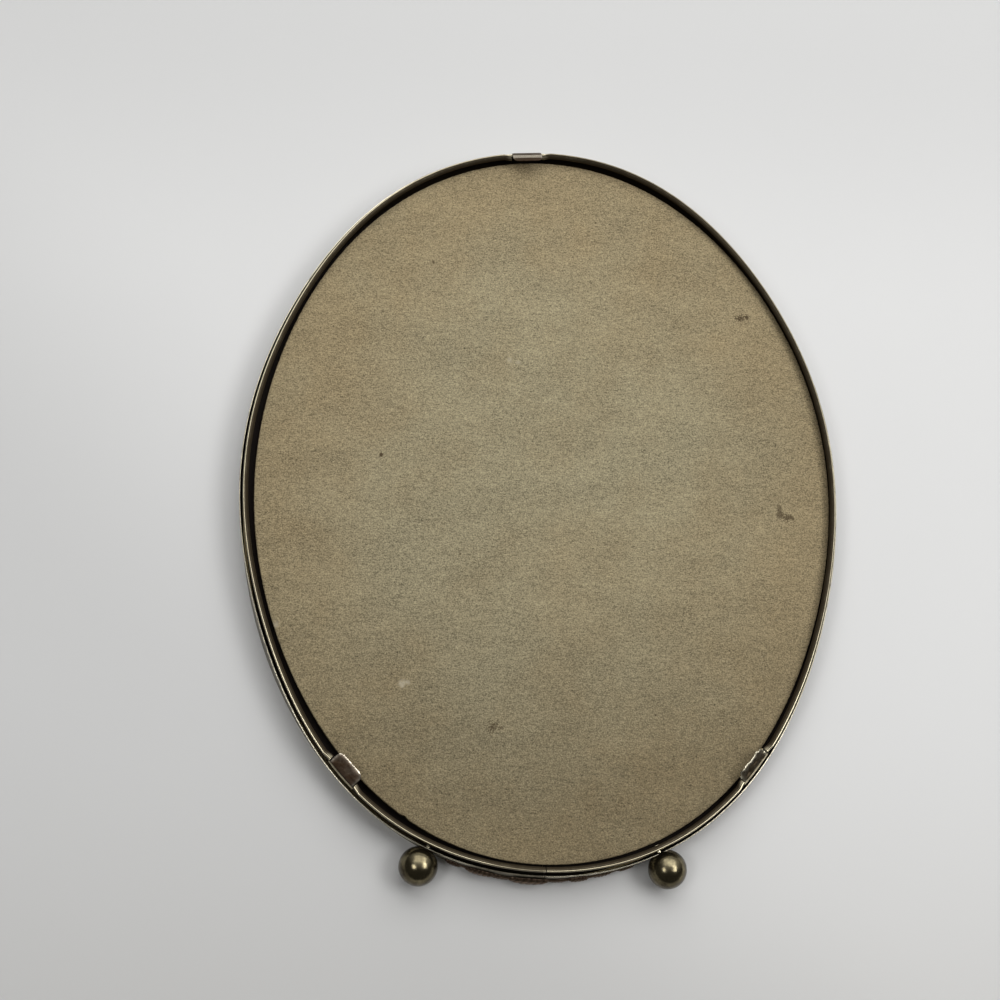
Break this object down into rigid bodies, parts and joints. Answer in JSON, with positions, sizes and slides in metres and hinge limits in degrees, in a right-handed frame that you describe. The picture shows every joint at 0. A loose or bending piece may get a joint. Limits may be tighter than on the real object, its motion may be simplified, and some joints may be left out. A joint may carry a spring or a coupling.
{
  "type": "oval picture frame",
  "caption": "Oval metal picture frame with ball feet, a pierced front border, a leaf garland and a chipboard back held by folding tabs.",
  "frame": {"origin": "under the middle of the whole outline (oval and feet), on the front plane that it lies on", "axes": "+Z out of the frame's back, +Y towards the picture's top, +X to the right as seen from the back, frame lying on its face"},
  "size_m": [0.2068, 0.2614, 0.0143],
  "materials": {
    "aged_brass": "aged, olive toned, satin",
    "gilt_brass": "worn gilt, semi gloss",
    "copper_brass": "red-brown patina",
    "polished_brass": "aged polish, glossy",
    "clear_glass": "clear, flat",
    "bare_card": "plain cream card",
    "chipboard": "grey-brown, fibrous, matt"
  },
  "bodies": {
    "root": {"back_rim": "aged_brass", "outer_band": "aged_brass", "front_border": "gilt_brass", "sight_bead": "gilt_brass", "bottom_garland": "copper_brass", "glass": "clear_glass", "picture_card": "bare_card", "backing_board": "chipboard", "foot_left": "polished_brass", "foot_right": "polished_brass", "foot_screw_left": "aged_brass", "foot_screw_right": "aged_brass"},
    "tab_top": {"tab_top": "copper_brass"},
    "tab_left": {"tab_left": "copper_brass"},
    "tab_right": {"tab_right": "copper_brass"}
  },
  "joints": [
    {"name": "tab_top_bend", "type": "hinge", "parent": "root", "child": "tab_top", "pos_m": [-0.00693, 0.12888, 0.0111], "axis": [-0.9964, -0.0852, 0], "range_deg": [-61, 53]},
    {"name": "tab_left_bend", "type": "hinge", "parent": "root", "child": "tab_left", "pos_m": [-0.06648, -0.09577, 0.0111], "axis": [0.6796, -0.7336, 0], "range_deg": [-46, 68]},
    {"name": "tab_right_bend", "type": "hinge", "parent": "root", "child": "tab_right", "pos_m": [0.07043, -0.09127, 0.0111], "axis": [0.6404, 0.768, 0], "range_deg": [-48, 66]}
  ]
}
